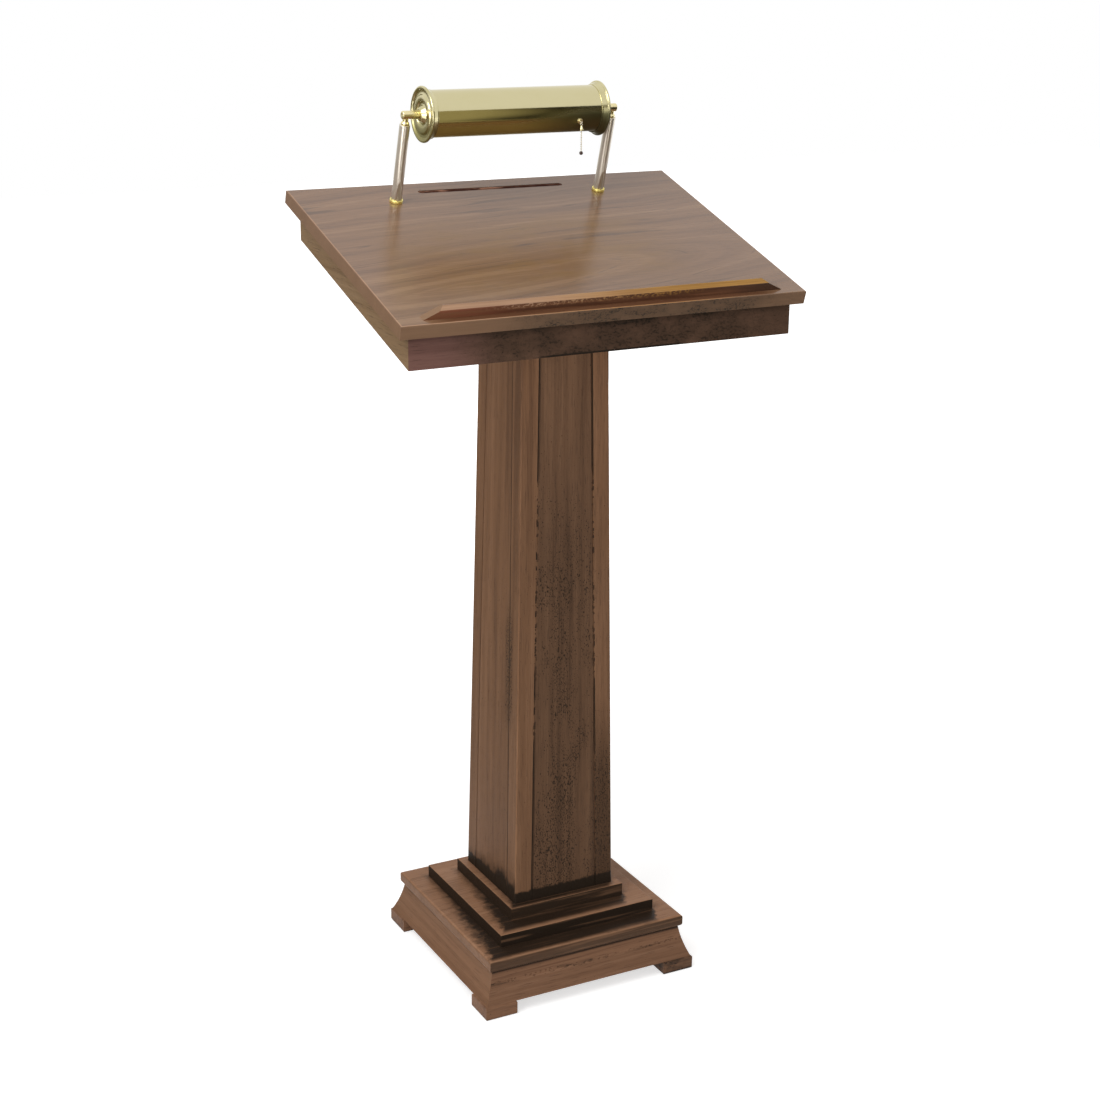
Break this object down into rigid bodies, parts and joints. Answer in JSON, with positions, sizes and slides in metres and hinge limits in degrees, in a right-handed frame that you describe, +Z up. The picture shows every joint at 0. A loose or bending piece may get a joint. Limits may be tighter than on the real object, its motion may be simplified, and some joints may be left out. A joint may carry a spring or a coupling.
{
  "type": "lectern",
  "caption": "Free-standing wooden lectern with a sloping desk, book ledge and pen groove on a tapered column and stepped base, with a tilting brass tube lamp on posts.",
  "frame": {"origin": "on the floor under the column's axis, midway between the desk's front and back edges", "axes": "+X to the reader's right, +Y away from the reader, +Z up"},
  "size_m": [0.61, 0.4026, 1.2992],
  "materials": {
    "stand_wood": "satin walnut with a dark glaze",
    "desk_wood": "satin walnut",
    "inner_wood": "unfinished",
    "brass": "polished and lacquered",
    "steel": "zinc plated",
    "lamp_holder": "moulded",
    "bulb_glass": "clear",
    "chain": "polished",
    "dark_ball": "dark brown"
  },
  "bodies": {
    "stand": {"apron_back": "stand_wood", "apron_front": "stand_wood", "apron_left": "stand_wood", "apron_right": "stand_wood", "base_block_back_left": "inner_wood", "base_block_back_right": "inner_wood", "base_block_front_left": "inner_wood", "base_block_front_right": "inner_wood", "base_rail_back": "stand_wood", "base_rail_front": "stand_wood", "base_rail_left": "stand_wood", "base_rail_right": "stand_wood", "base_slab": "stand_wood", "book_ledge": "desk_wood", "column_bolts": "steel", "column_foot_block": "inner_wood", "column_head_block": "inner_wood", "column_panel_back": "stand_wood", "column_panel_front": "stand_wood", "column_panel_left": "stand_wood", "column_panel_right": "stand_wood", "column_post_back_left": "stand_wood", "column_post_back_right": "stand_wood", "column_post_front_left": "stand_wood", "column_post_front_right": "stand_wood", "column_washers": "steel", "desk_board": "desk_wood", "desk_screws": "steel", "foot_back_left": "stand_wood", "foot_back_right": "stand_wood", "foot_front_left": "stand_wood", "foot_front_right": "stand_wood", "foot_screws": "steel", "lamp_post_left": "brass", "lamp_post_right": "brass", "ledge_screws": "steel", "middle_step": "stand_wood", "mounting_plate": "inner_wood", "pivot_head_left": "brass", "pivot_head_right": "brass", "plate_screws": "steel", "post_flange_left": "brass", "post_flange_right": "brass", "post_nipples": "steel", "post_nuts": "steel", "post_washers": "steel", "upper_step": "stand_wood"},
    "shade": {"shade_shell": "brass", "shade_cap_left": "brass", "shade_cap_right": "brass", "pivot_nipples": "steel", "pivot_nuts": "steel", "pivot_washers": "brass", "lamp_socket": "lamp_holder", "bulb": "bulb_glass", "chain_guide": "brass"},
    "switch_lead": {"pull_lead": "chain"},
    "pull_chain": {"pull_chain": "chain", "chain_ball": "dark_ball"}
  },
  "joints": [
    {"name": "shade_tilt", "type": "hinge", "parent": "stand", "child": "shade", "pos_m": [0, 0.10205, 1.26051], "axis": [1, 0, 0], "range_deg": [-45, 45]},
    {"name": "chain_pull", "type": "slide", "parent": "shade", "child": "switch_lead", "axis": [0, -0.9063, -0.4226], "range_m": [0, 0.008], "stiffness_N_per_m": 300, "springref_m": -0.005},
    {"name": "chain_hang", "type": "hinge", "parent": "switch_lead", "child": "pull_chain", "pos_m": [0.0932, 0.06698, 1.2434], "axis": [1, 0, 0], "range_deg": [-45, 45]}
  ],
  "couplings": [
    {"joint": "chain_hang", "follows": "shade_tilt", "ratio": -1}
  ]
}
